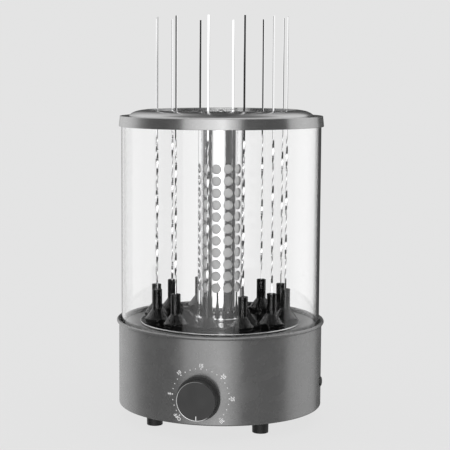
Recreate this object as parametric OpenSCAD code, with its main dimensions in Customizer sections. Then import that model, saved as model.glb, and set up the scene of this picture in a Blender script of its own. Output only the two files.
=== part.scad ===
// Upright electric skewer grill, millimetres.
// A drum base holds the motor, the gears and the timer. Twelve twisted flat skewers stand in
// geared cups round a perforated heater column, inside a glass cylinder with a metal lid ring.
// The origin is on the column's axis at the table; +Z is up and the timer knob points to -Y.

/* [Drum base] */
// Outer radius of the drum
drum_r = 122.5; // [119:0.5:130]
// Height from the drum's underside to the middle of its rolled rim
drum_h = 101.4; // [97:0.4:110]
// Thickness of the drum, its bottom plate and its deck
sheet_t = 1.2; // [0.8:0.1:1.6]
// Inner radius of the bend at the drum's foot
foot_bend_r = 0.4; // [0.2:0.1:3]
// Width of the flat flange turned in under the drum
flange_w = 17.5; // [14:0.5:19]
// Radius of the rolled rim's bead
rim_bead_r = 2.2; // [1.8:0.1:2.4]
// Depth of the deck's top below the middle of the rim
deck_drop = 2.4; // [2:0.1:3.2]
// Height of the skirt turned down round the deck
deck_skirt_h = 8; // [4:0.5:14]

/* [Feet] */
// Clear height of the drum above the table
foot_h = 17.8; // [13:0.2:23]
// Radius of a rubber foot at its top
foot_r = 9.8; // [9.4:0.1:11]
// Radius of a rubber foot at the table
foot_tip_r = 9.4; // [8:0.1:9.8]
// Gap between a foot and the edge of the drum's turned-in flange
foot_margin = 3.1; // [2:0.1:8]
// Depth of the screw's recess in a foot
foot_recess = 6; // [4:0.5:9]

/* [Drip tray] */
// Thickness of the tray's sheet
tray_t = 0.8; // [0.5:0.1:1.2]
// Gap between the cups' skirts and the outside of the tray's rim
tray_margin = 2.9; // [2.6:0.1:5]
// Radius of the bead round the tray
tray_bead_r = 0.95; // [0.7:0.05:1.1]
// Height of the tray's bead above the tray's floor, at its middle
tray_bead_h = 0.85; // [0.6:0.05:1.4]

/* [Turntable gears] */
// Distance of the cups' ring inside the drum's outer radius
ring_inset = 43.125; // [40:0.125:46]
// Teeth on each cup
cup_teeth = 16; // [16]
// Teeth on the centre gear, a multiple of twelve
centre_teeth = 84; // [84]
// Face width of the centre gear
gear_face = 3.1; // [2.6:0.1:4]
// Module of the gears under the deck
drive_module = 1.5; // [1.45:0.05:1.55]
// Teeth on the gear pressed on the hub
hub_teeth = 48; // [48]
// Teeth on the motor's pinion
pinion_teeth = 17; // [17]
// Face width of the gears under the deck
drive_face = 5; // [4:0.5:7]
// Slack left on each gear's teeth, measured along the pitch circle
tooth_slack = 0.1; // [0.06:0.01:0.16]
// Outer radius of the centre gear's hub sleeve
hub_r = 25.4; // [24.5:0.1:26.4]
// Length of the hub sleeve below the centre gear
hub_drop = 23.5; // [21.5:0.5:25]

/* [Skewer cups] */
// Height of a cup from its gear's underside to its mouth
cup_h = 41.8; // [40.5:0.1:50]
// Outer radius of a cup's stem
cup_stem_r = 5.75; // [5.2:0.05:6.5]
// How far the skirt stands out over the teeth of a cup's gear
skirt_lip = 0.52; // [0.3:0.02:1.2]
// Height of the skirt
cup_skirt_h = 4; // [3:0.1:5]
// Height of the cone between the skirt and the stem
cup_cone_h = 10.8; // [8:0.1:14]
// Depth of the slot that holds a skewer
socket_depth = 20; // [15:0.5:22]
// Radius of the steel pin that a cup turns on
pin_r = 2.5; // [2:0.1:3]
// Height of the pins above the tray's floor
pin_h = 13.4; // [10:0.1:15]

/* [Skewers] */
// Width of the flat skewer
skewer_w = 2.5; // [2:0.1:3]
// Thickness of the flat skewer
skewer_t = 0.9; // [0.7:0.1:1.2]
// Whole length of a skewer
skewer_len = 342.3; // [320:0.1:370]
// Length of the plain foot under the twist
skewer_foot = 31; // [26:0.5:36]
// Length of the twisted part
twist_len = 171.4; // [150:0.1:190]
// Turns in the twisted part
twist_turns = 1.625; // [1.125:0.5:2.625]

/* [Heater column] */
// Outer radius of the perforated tube
tube_r = 27.2; // [26.6:0.1:28.4]
// Wall of the perforated tube
tube_t = 1; // [0.6:0.1:1.4]
// Diameter of a hole in the tube
hole_d = 11.3; // [9:0.1:12]
// Spacing of the rows of holes
hole_pitch = 14.2; // [13.4:0.1:16]
// Rows of holes
hole_rows = 11; // [8:1:12]
// Height of the lowest row above the tube's lower end
hole_start = 37.3; // [30:0.1:45]
// Radius of the bright flange at the tube's foot
base_flange_r = 30; // [28.5:0.5:34]
// Thickness of that flange
base_flange_t = 3; // [2:0.5:4]
// Outer radius of the frosted quartz sleeve
sleeve_r = 25.4; // [24:0.1:25.5]
// Wall of the quartz sleeve
sleeve_t = 2; // [1:0.1:2.5]
// Outer radius of the ceramic former
former_r = 11.5; // [9:0.5:11.5]
// Radius of the heating wire
wire_r = 1; // [0.6:0.1:1]
// Turns of the heating wire
wire_turns = 16.25; // [12.25:1:18.25]
// Radius of the rod that ties the column together
rod_r = 3; // [2.5:0.1:3.2]
// Outer radius of the pillar that carries the column
pillar_r = 20; // [19.5:0.1:21]
// Wall of the pillar
pillar_t = 1.6; // [1:0.1:1.8]
// Thickness of the cap on top of the tube
cap_t = 3.5; // [3:0.1:4]
// Thickness of the guide plate
guide_t = 1.5; // [1:0.1:2]
// Radius of a skewer's hole in the guide plate
guide_hole_r = 1.8; // [1.7:0.05:2.4]

/* [Glass] */
// Distance of the glass inside the drum's outer radius
glass_inset = 3.15; // [3.1:0.05:3.5]
// Wall of the glass
glass_t = 3; // [2.5:0.1:3.4]
// Height of the glass
glass_h = 246; // [225:1:260]

/* [Lid ring] */
// Thickness of the lid's sheet
lid_t = 1; // [0.8:0.1:1.2]
// Height of the band round the glass
lid_band_h = 12.4; // [8:0.2:16]
// How far the band flares out at its lower edge
lid_flare = 1.3; // [0.6:0.1:2]
// How far the band stands outside the glass at its top
lid_margin = 1.75; // [1.4:0.05:2.4]
// Width of the flat ledge round the domed part
ledge_w = 11.3; // [8:0.1:14]
// Height of the domed part above the ledge
lid_dome_h = 7.3; // [5:0.1:9]
// Width of the domed part, from the ledge to the round mouth
dome_w = 20; // [17:0.2:22]
// Thickness of the gasket between the lid and the glass
gasket_t = 1; // [0.6:0.1:2]
// Depth of the guide plate's top below the lid's top
guide_drop = 2.5; // [2:0.1:3.5]

/* [Timer and knob] */
// Height of the knob's axis above the table
knob_z = 50.6; // [47:0.2:60]
// Radius of the knob's rear flange
knob_flange_r = 25.4; // [24.4:0.1:26.4]
// Radius of the knob's grip
knob_r = 22.8; // [21.8:0.1:23.4]
// Distance of the knob's face from the drum
knob_depth = 20.5; // [18.5:0.5:24]
// Radius of the timer's shaft
shaft_r = 3; // [2.5:0.1:3.5]
// Side of the timer's square case
timer_w = 42; // [39:1:44]
// Depth of the timer's case
timer_depth = 28; // [24:1:34]
// Distance of each of the timer's screws from its shaft
timer_screw_z = 15.5; // [13:0.5:16]

/* [Motor] */
// Radius of the geared motor
motor_r = 24.5; // [22:0.1:24.5]
// Thickness of the geared motor
motor_h = 20.5; // [16:0.5:26]
// Radius of the motor's shaft
motor_shaft_r = 3.5; // [3:0.1:4]
// Thickness of the motor's bracket
bracket_t = 1.5; // [1:0.1:2]

/* [Cord inlet and wiring] */
// Height of the inlet bush above the table
gland_z = 48.8; // [40:0.2:60]
// Radius of the bush's outer flange
gland_r = 5.8; // [5.2:0.1:7]
// Radius of the bush's bore
gland_bore_r = 2.6; // [2:0.1:3]
// Radius of the wires inside the base
lead_r = 1.2; // [0.8:0.1:1.2]

/* [Hidden] */
$fn = 96;
cups = 12;
function two(n) = n < 10 ? str("0", n) : str(n);
function name_of(stem, k) = str(stem, "_", two(k + 1));

// Clearances
run_gap = 0.05;   // radial, between a shaft and its bore
seat_gap = 0.3;   // between pieces that turn or lift past each other
rest_gap = 0.2;   // under a piece that lifts off
socket_gap = 0.15; // round a skewer's foot in its slot
clear_r = 0.1;    // round a screw in its clearance hole

// Screws: M4 and M3, pan heads
screw_r = 2;
head_r = 3.5;
head_h = 2;
screw_len = 6;
small_screw_r = 1.5;
small_head_r = 2.8;
small_head_h = 1.6;

// The drum's bends, and what stands at a distance from its outside
drum_corner_r = foot_bend_r + sheet_t;
drum_in_r = drum_r - sheet_t;
rim_lap = 0.4; // how far the rim's bead stands inside the wall
rim_in_r = drum_in_r - rim_lap;
foot_ring_r = drum_r - drum_corner_r - flange_w - foot_margin - foot_r;
feet_turn = 42.5;
ring_r = drum_r - ring_inset;
glass_r = drum_r - glass_inset;
lid_top_r = glass_r + lid_margin;
lid_dome_r = lid_top_r - ledge_w;
lid_mouth_r = lid_dome_r - dome_w;

// Heights, from the table up
drum_z0 = foot_h;
plate_z0 = drum_z0 + sheet_t;
plate_z1 = plate_z0 + sheet_t;
rim_z = drum_z0 + drum_h;
deck_z1 = rim_z - deck_drop;
deck_z0 = deck_z1 - sheet_t;
tray_z1 = deck_z1 + tray_t;
gear_z0 = tray_z1 + seat_gap;
gear_z1 = gear_z0 + gear_face;
skirt_z0 = gear_z1 + seat_gap + 0.1;
cup_z1 = gear_z0 + cup_h;
pin_z1 = tray_z1 + pin_h;
skewer_z0 = cup_z1 - socket_depth + seat_gap;
hub_z0 = gear_z0 - hub_drop + gear_face;
drive_z0 = hub_z0 + 1;
column_z0 = gear_z1 + seat_gap;
tube_z0 = column_z0 + base_flange_t;
glass_z0 = deck_z1 + tray_t + rest_gap;
glass_z1 = glass_z0 + glass_h;
ledge_z0 = glass_z1 + rest_gap + gasket_t;
ledge_z1 = ledge_z0 + lid_t;
lid_z1 = ledge_z1 + lid_dome_h;
guide_z1 = lid_z1 - guide_drop;
guide_z0 = guide_z1 - guide_t;
cap_z0 = guide_z0 - cap_t;
spigot_h = 5.7;
sleeve_z0 = tube_z0 + spigot_h;
sleeve_z1 = cap_z0 - spigot_h + 1.7;

// Radii
plate_r = drum_in_r - drum_corner_r;
base_screw_r = drum_r - drum_corner_r - flange_w / 2;
base_screws_turn = 45;
gear_module = 2 * ring_r / (centre_teeth + cup_teeth);
addendum = 0.9;
cup_skirt_r = gear_module * (cup_teeth / 2 + addendum) + skirt_lip;
drive_r = drive_module * (hub_teeth + pinion_teeth) / 2;
tray_r = ring_r + cup_skirt_r + tray_margin;
tray_hole_r = hub_r + 3.4;
deck_hole_r = hub_r + 2.6;
hub_bore_r = pillar_r + run_gap;
pillar_in_r = pillar_r - pillar_t;
tube_in_r = tube_r - tube_t;
coil_gap = 0.8; // between the former and the wire, which runs straight from point to point
coil_r = former_r + coil_gap + wire_r;
lead_ring_r = coil_r + wire_r + seat_gap + lead_r + 0.2;
guide_r = lid_mouth_r - 1.3;
pad_r = 8; // pad of the pillar's screws
pillar_flange_r = pillar_r + 11;
pillar_screw_r = pillar_r + 6;

// Gear teeth
pressure = 20;
dedendum = 1.25;
function involute(a) = tan(a) * 180 / PI - a;
function flank_angle(n, m, r) =
    let (pitch = m * n / 2, base = pitch * cos(pressure))
    90 / n - tooth_slack / 2 / pitch * 180 / PI + involute(pressure)
    - (r > base ? involute(acos(base / r)) : 0);
function flank_radii(n, m) =
    let (pitch = m * n / 2, base = pitch * cos(pressure), root = pitch - dedendum * m)
    root < base ? [root, base, pitch, pitch + addendum * m] : [root, pitch, pitch + addendum * m];
function gear_points(n, m) =
    let (radii = flank_radii(n, m), last = len(radii) - 1)
    [for (i = [0:n - 1], j = [0:2 * last + 1])
        let (r = radii[j <= last ? j : 2 * last + 1 - j], side = j <= last ? -1 : 1,
             a = 360 * i / n + side * flank_angle(n, m, r))
        r * [cos(a), sin(a)]];

module gear(n, m, face) {
    linear_extrude(face) polygon(gear_points(n, m));
}

// A tube standing at z0
module tube(r, r_in, z0, z1) {
    translate([0, 0, z0]) difference() {
        cylinder(r = r, h = z1 - z0);
        translate([0, 0, -1]) cylinder(r = r_in, h = z1 - z0 + 2);
    }
}

module spokes(count, r, turn = 0) {
    for (i = [0:count - 1]) rotate([0, 0, turn + 360 * i / count]) translate([r, 0, 0]) children();
}

// The place of cup k; the cup's own frame has +Y towards the column
module at_cup(k) {
    rotate([0, 0, 360 * k / cups]) translate([0, -ring_r, 0]) children();
}

// On the drum's front, with +Z pointing out of it along the knob's axis
module at_knob() {
    translate([0, -drum_r, knob_z]) rotate([90, 0, 0]) children();
}

// On the drum's right side, with +Z pointing out of it
module at_gland() {
    translate([drum_r, 0, gland_z]) rotate([0, 90, 0]) children();
}

// Pan-head screw: the head stands on z = 0 and the shank points down
module screw(r, head, height, length) {
    cylinder(r = head, h = height * 0.6);
    translate([0, 0, height * 0.6]) cylinder(r1 = head, r2 = head * 0.72, h = height * 0.4);
    translate([0, 0, -length]) cylinder(r = r, h = length);
}

module cross_recess(head, height) {
    for (a = [0, 90]) rotate([0, 0, a])
        translate([-head * 0.5, -head * 0.12, height * 0.45]) cube([head, head * 0.24, height]);
}

module cross_screw(r, head, height, length) {
    difference() {
        screw(r, head, height, length);
        cross_recess(head, height);
    }
}

// ---- Base ----

module base_housing() color([0.42, 0.42, 0.43]) difference() {
    rotate_extrude() {
        translate([drum_in_r, drum_z0 + drum_corner_r]) square([sheet_t, drum_h - drum_corner_r]);
        translate([drum_r - drum_corner_r, drum_z0 + drum_corner_r]) intersection() {
            difference() {
                circle(drum_corner_r);
                circle(drum_corner_r - sheet_t);
            }
            translate([0, -drum_corner_r]) square(drum_corner_r);
        }
        translate([drum_r - drum_corner_r - flange_w, drum_z0]) square([flange_w, sheet_t]);
        translate([rim_in_r + rim_bead_r, rim_z]) circle(rim_bead_r);
    }
    at_knob() translate([0, 0, -10]) cylinder(r = shaft_r + 1, h = 12);
    at_knob() for (s = [-1, 1]) translate([0, s * timer_screw_z, -10])
        cylinder(r = small_screw_r + clear_r, h = 12);
    at_gland() translate([0, 0, -10]) cylinder(r = gland_neck_r(), h = 12);
    spokes(4, base_screw_r, base_screws_turn) translate([0, 0, drum_z0 - 1])
        cylinder(r = screw_r + clear_r, h = sheet_t + 2);
}

module bottom_plate() color([0.62, 0.63, 0.65]) difference() {
    translate([0, 0, plate_z0]) cylinder(r = plate_r, h = sheet_t);
    translate([0, 0, plate_z0 - 1]) {
        spokes(4, base_screw_r, base_screws_turn) cylinder(r = screw_r, h = sheet_t + 2);
        spokes(4, foot_ring_r, feet_turn) cylinder(r = screw_r, h = sheet_t + 2);
        spokes(3, pillar_screw_r, 90) cylinder(r = screw_r, h = sheet_t + 2);
        bracket_screw_places() cylinder(r = screw_r, h = sheet_t + 2);
        spokes(16, vent_r, 11.25) translate([-vent_l / 2, -vent_w / 2, 0])
            cube([vent_l, vent_w, sheet_t + 2]);
    }
}
vent_r = 66;
vent_l = 20;
vent_w = 3;

module rubber_feet() color([0.08, 0.08, 0.08]) spokes(4, foot_ring_r, feet_turn) difference() {
    union() {
        cylinder(r1 = foot_tip_r - foot_edge, r2 = foot_tip_r, h = foot_edge);
        translate([0, 0, foot_edge])
            cylinder(r1 = foot_tip_r, r2 = foot_r, h = plate_z0 - foot_edge);
    }
    translate([0, 0, -1]) cylinder(r = head_r + 1, h = foot_recess + 1);
    translate([0, 0, -1]) cylinder(r = screw_r + clear_r, h = plate_z0 + 2);
}
foot_edge = 0.6;

// The head sits at the top of the recess, and the shank goes up through the plate
module foot_screws() color([0.75, 0.75, 0.76]) spokes(4, foot_ring_r, feet_turn)
    translate([0, 0, foot_recess]) mirror([0, 0, 1])
        cross_screw(screw_r, head_r, head_h, plate_z1 + 2 - foot_recess);

module bracket_screw_places() {
    for (sx = [-1, 1], sy = [-1, 1])
        translate([sx * (bracket_x + bracket_foot_w / 2 + bracket_t), drive_r + sy * 7, 0]) children();
}

module case_screws() color([0.75, 0.75, 0.76]) {
    spokes(4, base_screw_r, base_screws_turn) translate([0, 0, drum_z0]) mirror([0, 0, 1])
        cross_screw(screw_r, head_r, head_h, screw_len);
    spokes(3, pillar_screw_r, 90) translate([0, 0, plate_z1 + pillar_flange_t])
        cross_screw(screw_r, head_r, head_h, screw_len);
    bracket_screw_places() translate([0, 0, plate_z1 + bracket_t])
        cross_screw(screw_r, head_r, head_h, screw_len);
}

module deck_plate() color([0.55, 0.55, 0.56]) difference() {
    union() {
        translate([0, 0, deck_z0]) cylinder(r = drum_in_r, h = sheet_t);
        tube(drum_in_r, drum_in_r - sheet_t, deck_z0 - deck_skirt_h, deck_z0 + sheet_t / 2);
    }
    translate([0, 0, deck_z0 - 1]) {
        cylinder(r = deck_hole_r, h = sheet_t + 2);
        for (k = [0:cups - 1]) at_cup(k) cylinder(r = pin_r, h = sheet_t + 2);
    }
}

// The glass stands on the flat of the seal, inside its raised edge
module glass_seal() color([0.1, 0.1, 0.1]) {
    difference() {
        tube(rim_in_r - 0.1, glass_r - glass_t - 0.8, deck_z1, deck_z1 + tray_t + 1.8);
        translate([0, 0, deck_z1 + tray_t]) cylinder(r = glass_r + seat_gap + 0.1, h = 3);
    }
}

module drip_tray() color([0.1, 0.1, 0.1]) difference() {
    union() {
        translate([0, 0, deck_z1]) cylinder(r = tray_r - tray_bead_r, h = tray_t);
        tube(tray_r - tray_bead_r + tray_t / 2, tray_r - tray_bead_r - tray_t / 2, deck_z1,
             tray_z1 + tray_bead_h);
        translate([0, 0, tray_z1 + tray_bead_h]) rotate_extrude()
            translate([tray_r - tray_bead_r, 0]) circle(tray_bead_r);
        tube(tray_hole_r + tray_t, tray_hole_r, deck_z1, tray_z1 + upstand_h);
    }
    translate([0, 0, deck_z1 - 1]) {
        cylinder(r = tray_hole_r, h = tray_t + 2);
        for (k = [0:cups - 1]) at_cup(k) cylinder(r = pin_r, h = tray_t + 2);
    }
}
upstand_h = 1.4;

// Steel pins riveted through the deck and the tray, one under each cup
module spindle_pins() color([0.7, 0.7, 0.72]) for (k = [0:cups - 1]) at_cup(k) {
    translate([0, 0, deck_z0 - 1.8]) cylinder(r = pin_r + 1.7, h = 1.8);
    translate([0, 0, deck_z0]) cylinder(r = pin_r, h = pin_z1 - deck_z0 - 0.6);
    translate([0, 0, pin_z1 - 0.6]) cylinder(r1 = pin_r, r2 = pin_r - 0.6, h = 0.6);
}

// ---- Pillar, turntable and drive ----

pillar_flange_t = 2;
washer_t = 1.2;
collar_t = 2.8;
wire_hole_z = plate_z1 + 12;
washer_z0 = hub_z0 - seat_gap - washer_t;

module centre_pillar() color([0.68, 0.68, 0.7]) difference() {
    union() {
        translate([0, 0, plate_z1]) cylinder(r = pillar_flange_r, h = pillar_flange_t);
        translate([0, 0, plate_z1]) cylinder(r = pillar_r, h = column_z0 - plate_z1);
        translate([0, 0, washer_z0 - collar_t]) cylinder(r = pillar_r + 3.4, h = collar_t);
    }
    translate([0, 0, plate_z1 - 1]) cylinder(r = pillar_in_r, h = column_z0 - plate_z1 + 2);
    translate([0, 0, plate_z1 - 1]) spokes(3, pillar_screw_r, 90)
        cylinder(r = screw_r + clear_r, h = pillar_flange_t + 2);
    translate([0, 0, wire_hole_z]) rotate([90, 0, 0]) cylinder(r = 5, h = pillar_r + 1);
}

module thrust_washer() color([0.9, 0.88, 0.8])
    tube(hub_r - 0.4, hub_bore_r, washer_z0, washer_z0 + washer_t);

module centre_gear() color([0.07, 0.07, 0.07]) difference() {
    union() {
        translate([0, 0, gear_z0]) gear(centre_teeth, gear_module, gear_face);
        translate([0, 0, hub_z0]) cylinder(r = hub_r, h = gear_z1 - hub_z0);
    }
    translate([0, 0, hub_z0 - 1]) cylinder(r = hub_bore_r, h = gear_z1 - hub_z0 + 2);
    tube(tray_hole_r + tray_t + 1.8, hub_r, gear_z0 - 1, tray_z1 + upstand_h + seat_gap);
}

module hub_gear() color([0.85, 0.83, 0.76]) difference() {
    translate([0, 0, drive_z0]) gear(hub_teeth, drive_module, drive_face);
    translate([0, 0, drive_z0 - 1]) cylinder(r = hub_r, h = drive_face + 2);
}

bracket_z1 = drive_z0 - 4;
bracket_x = motor_r + 13.5;
bracket_w = 18;
bracket_foot_w = 10;
motor_z1 = bracket_z1 - bracket_t;
motor_z0 = motor_z1 - motor_h;
motor_boss_r = 8;
ear_x = motor_r + 5;

module drive_pinion() color([0.85, 0.83, 0.76]) translate([0, drive_r, drive_z0]) difference() {
    rotate([0, 0, -90 + 180 / pinion_teeth]) gear(pinion_teeth, drive_module, drive_face);
    translate([0, 0, -1]) cylinder(r = motor_shaft_r, h = drive_face + 2);
}

module motor_shaft() color([0.7, 0.7, 0.72]) translate([0, drive_r, motor_z1 - 8])
    cylinder(r = motor_shaft_r, h = drive_z0 + drive_face + 1.5 - motor_z1 + 8);

module drive_motor() color([0.72, 0.72, 0.7]) translate([0, drive_r, 0]) difference() {
    union() {
        translate([0, 0, motor_z0]) cylinder(r = motor_r, h = motor_h);
        translate([0, 0, motor_z1]) cylinder(r = motor_boss_r, h = bracket_t + 1);
        translate([-ear_x - 5, -6, motor_z1 - 1.5]) cube([2 * ear_x + 10, 12, 1.5]);
    }
    translate([0, 0, motor_z1 - 8.3]) cylinder(r = motor_shaft_r + run_gap, h = 8.3 + bracket_t + 2);
    for (s = [-1, 1]) translate([s * ear_x, 0, motor_z1 - 3])
        cylinder(r = small_screw_r + clear_r, h = 4);
}

module motor_bracket() color([0.68, 0.69, 0.71]) translate([0, drive_r, 0]) difference() {
    union() {
        translate([-bracket_x - bracket_t, -bracket_w / 2, motor_z1])
            cube([2 * (bracket_x + bracket_t), bracket_w, bracket_t]);
        translate([-motor_boss_r - 4, -motor_boss_r - 4, motor_z1])
            cube([2 * motor_boss_r + 8, 2 * motor_boss_r + 8, bracket_t]);
        for (s = [-1, 1]) {
            translate([s * (bracket_x + bracket_t / 2) - bracket_t / 2, -bracket_w / 2, plate_z1])
                cube([bracket_t, bracket_w, motor_z1 + bracket_t - plate_z1]);
            translate([s > 0 ? bracket_x : -bracket_x - bracket_t - bracket_foot_w,
                       -bracket_w / 2, plate_z1])
                cube([bracket_t + bracket_foot_w, bracket_w, bracket_t]);
        }
    }
    translate([0, 0, motor_z1 - 1]) cylinder(r = motor_boss_r + clear_r, h = bracket_t + 2);
    for (s = [-1, 1]) translate([s * ear_x, 0, motor_z1 - 1])
        cylinder(r = small_screw_r, h = bracket_t + 2);
    translate([0, -drive_r, plate_z1 - 1]) bracket_screw_places()
        cylinder(r = screw_r + clear_r, h = bracket_t + 2);
}

// Two hold the motor to its bracket, two hold the timer to the drum's front
module small_screws() color([0.75, 0.75, 0.76]) {
    for (s = [-1, 1]) translate([s * ear_x, drive_r, motor_z1 - 1.5]) mirror([0, 0, 1])
        cross_screw(small_screw_r, small_head_r, small_head_h, small_screw_len);
    at_knob() for (s = [-1, 1]) translate([0, s * timer_screw_z, 0])
        cross_screw(small_screw_r, small_head_r, small_head_h, small_screw_len);
}
small_screw_len = 6;

// ---- Timer and knob ----

// Depth behind the drum's front at which something x wide meets the inside of the wall
function wall_depth(x) = drum_r - sqrt(drum_in_r * drum_in_r - x * x);
timer_front = wall_depth(timer_w / 2) + 0.2;
timer_boss_r = 5.5;

module timer_body() color([0.75, 0.74, 0.7]) at_knob() difference() {
    union() {
        translate([-timer_w / 2, -timer_w / 2, -timer_front - timer_depth])
            cube([timer_w, timer_w, timer_depth]);
        translate([0, 0, -timer_front]) cylinder(r = timer_boss_r,
                                                 h = timer_front - wall_depth(timer_boss_r) - 0.05);
        for (s = [-1, 1]) translate([0, s * timer_screw_z, -timer_front])
            cylinder(r = 4, h = timer_front - wall_depth(4) - 0.05);
    }
    translate([0, 0, -timer_front - 20.3]) cylinder(r = shaft_r + run_gap, h = timer_front + 21);
    for (s = [-1, 1]) translate([0, s * timer_screw_z, -small_screw_len])
        cylinder(r = small_screw_r, h = small_screw_len);
}

module timer_shaft() color([0.72, 0.72, 0.74]) at_knob()
    translate([0, 0, -timer_front - 20]) cylinder(r = shaft_r, h = timer_front + 20 + knob_depth - 6);

knob_gap = 0.6;
knob_step = 6.8;
knob_recess = 2.8;
knob_taper = 2.2; // how much narrower the flange is at its back
pointer_len = 6;

module timer_knob() color([0.14, 0.14, 0.14]) at_knob() difference() {
    rotate_extrude() polygon([
        [0, knob_gap + 0.6], [6.5, knob_gap + 0.6], [6.5, knob_gap + knob_recess],
        [knob_r - 2.5, knob_gap + knob_recess], [knob_r - 2.5, knob_gap],
        [knob_flange_r - knob_taper, knob_gap],
        [knob_flange_r, knob_gap + knob_step - 0.8], [knob_flange_r - 0.6, knob_gap + knob_step],
        [knob_r, knob_gap + knob_step], [knob_r - 0.2, knob_depth - 1.2],
        [knob_r - 0.8, knob_depth], [0, knob_depth]]);
    translate([0, 0, -1]) cylinder(r = shaft_r, h = knob_depth - 5);
    translate([-0.45, -knob_r + 0.9, knob_depth - 0.4]) cube([0.9, pointer_len, 1]);
}

// ---- Cups and skewers ----

module skewer_cup(k) color([0.06, 0.06, 0.06]) at_cup(k) difference() {
    union() {
        translate([0, 0, gear_z0]) rotate([0, 0, 90 + 180 / cup_teeth])
            gear(cup_teeth, gear_module, skirt_z0 - gear_z0 + 1);
        translate([0, 0, skirt_z0]) cylinder(r = cup_skirt_r, h = cup_skirt_h);
        translate([0, 0, skirt_z0 + cup_skirt_h])
            cylinder(r1 = cup_skirt_r - 0.4, r2 = cup_stem_r, h = cup_cone_h);
        translate([0, 0, skirt_z0]) cylinder(r = cup_stem_r, h = cup_z1 - skirt_z0 - 0.5);
        translate([0, 0, cup_z1 - 0.5]) cylinder(r1 = cup_stem_r, r2 = cup_stem_r - 0.5, h = 0.5);
    }
    translate([0, 0, gear_z0 - 1]) cylinder(r = pin_r + run_gap, h = pin_z1 + seat_gap - gear_z0 + 1);
    translate([0, 0, cup_z1 - socket_depth]) rotate([0, 0, foot_turn])
        translate([-skewer_w / 2 - socket_gap, -skewer_t / 2 - socket_gap, 0])
            cube([skewer_w + 2 * socket_gap, skewer_t + 2 * socket_gap, socket_depth + 1]);
}

// A skewer's flat faces the column at its tip; the twist is right-handed
foot_turn = -360 * twist_turns;
twist_steps = ceil(twist_turns * 24);
twist_z0 = skewer_z0 + skewer_foot;
skewer_rings = concat(
    [[skewer_z0, foot_turn]],
    [for (i = [0:twist_steps])
        [twist_z0 + twist_len * i / twist_steps, foot_turn * (1 - i / twist_steps)]],
    [[skewer_z0 + skewer_len, 0]]);
skewer_points = [for (ring = skewer_rings, c = [[1, 1], [-1, 1], [-1, -1], [1, -1]])
    let (x = c[0] * skewer_w / 2, y = c[1] * skewer_t / 2, a = ring[1])
    [x * cos(a) - y * sin(a), x * sin(a) + y * cos(a), ring[0]]];
// Triangles of a closed tube of rings, each of n points, with a flat end at each side
function tube_faces(rings, n) = concat(
    [for (i = [0:rings - 2], j = [0:n - 1])
        let (a = i * n + j, b = i * n + (j + 1) % n) [a, a + n, b + n]],
    [for (i = [0:rings - 2], j = [0:n - 1])
        let (a = i * n + j, b = i * n + (j + 1) % n) [a, b + n, b]],
    [for (j = [1:n - 2]) [0, j, j + 1]],
    [for (j = [1:n - 2]) let (top = (rings - 1) * n) [top, top + j + 1, top + j]]);

module skewer(k) color([0.85, 0.85, 0.86]) at_cup(k)
    polyhedron(skewer_points, tube_faces(len(skewer_rings), 4));

// ---- Heater column ----

module column_flange() color([0.85, 0.85, 0.86]) difference() {
    union() {
        translate([0, 0, column_z0]) cylinder(r = base_flange_r, h = base_flange_t);
        translate([0, 0, column_z0 - 5.3]) cylinder(r = pillar_in_r, h = 6);
        translate([0, 0, tube_z0 - 1]) cylinder(r = tube_in_r, h = spigot_h + 1);
    }
    translate([0, 0, column_z0 - 6]) cylinder(r = rod_r + clear_r, h = 20);
    for (a = [-135, -45]) rotate([0, 0, a]) translate([lead_ring_r, 0, column_z0 - 6])
        cylinder(r = lead_r + 0.3, h = 20);
}

// Each hole is cut from outside, to just past the inner face of the wall
hole_cols = 12;
hole_in_r = sqrt(tube_in_r * tube_in_r - hole_d * hole_d / 4) - 0.3;

module heater_tube() color([0.85, 0.85, 0.86]) difference() {
    rotate([0, 0, 180 / hole_cols]) tube(tube_r, tube_in_r, tube_z0, cap_z0);
    for (row = [0:hole_rows - 1]) translate([0, 0, tube_z0 + hole_start + row * hole_pitch])
        spokes(hole_cols, hole_in_r) rotate([0, 90, 0]) cylinder(d = hole_d, h = tube_r + 1 - hole_in_r);
}

module quartz_sleeve() color([0.8, 0.8, 0.8])
    tube(sleeve_r, sleeve_r - sleeve_t, sleeve_z0, sleeve_z1);

module heater_core() color([0.93, 0.92, 0.88])
    tube(former_r, rod_r + 0.4, sleeve_z0, sleeve_z1);

// One unbroken wire round the former; the measured gap is between neighbouring turns
coil_z0 = sleeve_z0 + 10;
coil_z1 = sleeve_z1 - 10;
coil_sides = 6;
coil_rings = ceil(wire_turns * 12) + 1;
coil_points = [for (i = [0:coil_rings - 1], j = [0:coil_sides - 1])
    let (a = -135 + 360 * wire_turns * i / (coil_rings - 1), b = 360 * j / coil_sides,
         r = coil_r + wire_r * cos(b))
    [r * cos(a), r * sin(a), coil_z0 + (coil_z1 - coil_z0) * i / (coil_rings - 1)
        + wire_r * sin(b)]];
echo(least_gap_of_the_heating_wire = (coil_z1 - coil_z0) / wire_turns - 2 * wire_r);

module heating_coil() color([0.5, 0.42, 0.36])
    polyhedron(coil_points, [for (f = tube_faces(coil_rings, coil_sides)) [f[2], f[1], f[0]]]);

module tie_rod() color([0.7, 0.7, 0.72]) {
    translate([0, 0, column_z0 - 5.3 - 4]) cylinder(r = rod_r + 2.6, h = 4, $fn = 6);
    translate([0, 0, column_z0 - 5.3]) cylinder(r = rod_r, h = guide_z1 + 1.7 - column_z0 + 5.3);
}

module column_cap() color([0.8, 0.8, 0.81]) difference() {
    union() {
        translate([0, 0, cap_z0]) cylinder(r = tube_r, h = cap_t);
        translate([0, 0, sleeve_z1 + rest_gap])
            cylinder(r = tube_in_r, h = cap_z0 - sleeve_z1 - rest_gap + 1);
    }
    translate([0, 0, sleeve_z1 - 1]) cylinder(r = rod_r + clear_r, h = cap_z0 + cap_t + 2 - sleeve_z1);
}

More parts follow.
